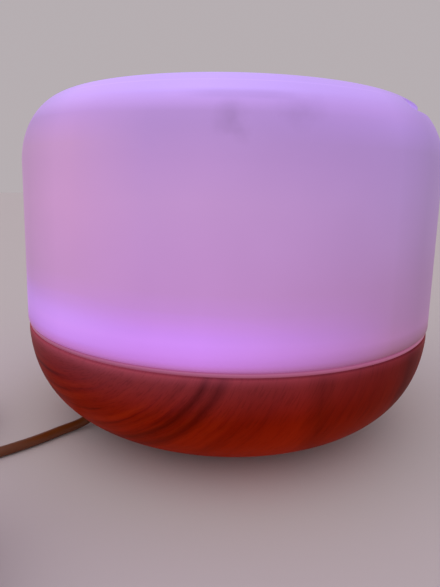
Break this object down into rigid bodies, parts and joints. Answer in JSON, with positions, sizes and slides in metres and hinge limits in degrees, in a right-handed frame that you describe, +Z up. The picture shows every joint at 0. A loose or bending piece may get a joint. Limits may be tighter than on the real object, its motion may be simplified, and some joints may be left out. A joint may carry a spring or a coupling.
{
  "type": "essential oil diffuser",
  "caption": "Ultrasonic aroma diffuser: lit translucent cover with a mist dish, lift-off inner hood and water tank on a wood-look bowl base with two buttons, cable and wall adapter.",
  "frame": {"origin": "on the table, under the middle of the base", "axes": "+Z up; the two buttons face -Y; the power cable leaves at +Y"},
  "size_m": [0.1804, 0.2574, 0.1351],
  "materials": {
    "frosted_cover": "translucent milky plastic, satin, lit violet from inside",
    "light_diffuser": "frosted translucent plastic, glowing violet",
    "tank_plastic": "glossy white moulded plastic",
    "inner_white": "white moulded plastic",
    "wood_grain": "plastic printed with a reddish wood grain, satin lacquer",
    "base_underside": "dark brown moulded plastic, fine texture",
    "button_cap": "satin moulded plastic in the colour of the base",
    "black_plastic": "black moulded plastic",
    "black_gloss": "black fan plastic, satin",
    "foot_rubber": "soft dark rubber",
    "silicone": "translucent grey silicone",
    "circuit_board": "green solder mask",
    "light_board": "white solder mask",
    "screw_steel": "zinc-plated steel",
    "transducer_steel": "polished stainless disc",
    "plated_contact": "nickel-plated contact metal",
    "capacitor_can": "aluminium can",
    "copper_coil": "enamelled copper winding",
    "led_lens": "clear resin lens, glowing violet",
    "cable_jacket": "dark olive-brown flexible jacket, satin",
    "lead_jacket": "thin insulated wire"
  },
  "bodies": {
    "base": {"adapter_case": "black_plastic", "adapter_lead": "cable_jacket", "adapter_prong_1": "plated_contact", "adapter_prong_2": "plated_contact", "adapter_strain_relief": "black_plastic", "air_duct": "inner_white", "air_pipe": "inner_white", "base_shell": "wood_grain", "bottom_plate": "base_underside", "bottom_screw_1": "screw_steel", "bottom_screw_2": "screw_steel", "bottom_screw_3": "screw_steel", "bottom_screw_4": "screw_steel", "button_board": "circuit_board", "button_lead": "lead_jacket", "cable_coil": "cable_jacket", "capacitor_1": "capacitor_can", "capacitor_2": "capacitor_can", "clamp_screw_1": "screw_steel", "clamp_screw_2": "screw_steel", "clamp_screw_3": "screw_steel", "coil_tie": "foot_rubber", "control_chip": "black_plastic", "dc_cable": "cable_jacket", "dc_jack": "black_plastic", "dc_plug": "black_plastic", "fan_frame": "black_gloss", "fan_lead": "lead_jacket", "fan_screw_1": "screw_steel", "fan_screw_2": "screw_steel", "foot_1": "foot_rubber", "foot_2": "foot_rubber", "foot_3": "foot_rubber", "foot_4": "foot_rubber", "inductor": "copper_coil", "led_1": "led_lens", "led_2": "led_lens", "led_3": "led_lens", "led_4": "led_lens", "led_5": "led_lens", "led_6": "led_lens", "led_board": "light_board", "led_lead": "lead_jacket", "light_ring": "light_diffuser", "main_board": "circuit_board", "plug_sleeve": "plated_contact", "plug_strain_relief": "black_plastic", "regulator": "black_plastic", "tact_switch_1": "black_plastic", "tact_switch_2": "black_plastic", "transducer_clamp": "inner_white", "transducer_disc": "transducer_steel", "transducer_lead": "lead_jacket", "transducer_seal": "silicone", "water_tank": "tank_plastic"},
    "cover": {"top_cover": "frosted_cover"},
    "hood": {"mist_hood": "inner_white"},
    "fan": {"fan_rotor": "black_gloss"},
    "mist_key": {"mist_button": "button_cap"},
    "light_key": {"light_button": "button_cap"}
  },
  "joints": [
    {"name": "cover_lift", "type": "slide", "parent": "base", "child": "cover", "axis": [0, 0, 1], "range_m": [0, 0.2]},
    {"name": "hood_lift", "type": "slide", "parent": "base", "child": "hood", "axis": [0, 0, 1], "range_m": [0, 0.1]},
    {"name": "mist_press", "type": "slide", "parent": "base", "child": "mist_key", "axis": [0, 1, 0], "range_m": [0, 0.0012], "stiffness_N_per_m": 400},
    {"name": "light_press", "type": "slide", "parent": "base", "child": "light_key", "axis": [0, 1, 0], "range_m": [0, 0.0012], "stiffness_N_per_m": 400},
    {"name": "fan_spin", "type": "hinge", "parent": "base", "child": "fan", "pos_m": [0, -0.018, 0.014], "axis": [0, 0, 1], "continuous": true}
  ],
  "couplings": [
    {"joint": "hood_lift", "follows": "cover_lift", "ratio": 0.5}
  ]
}
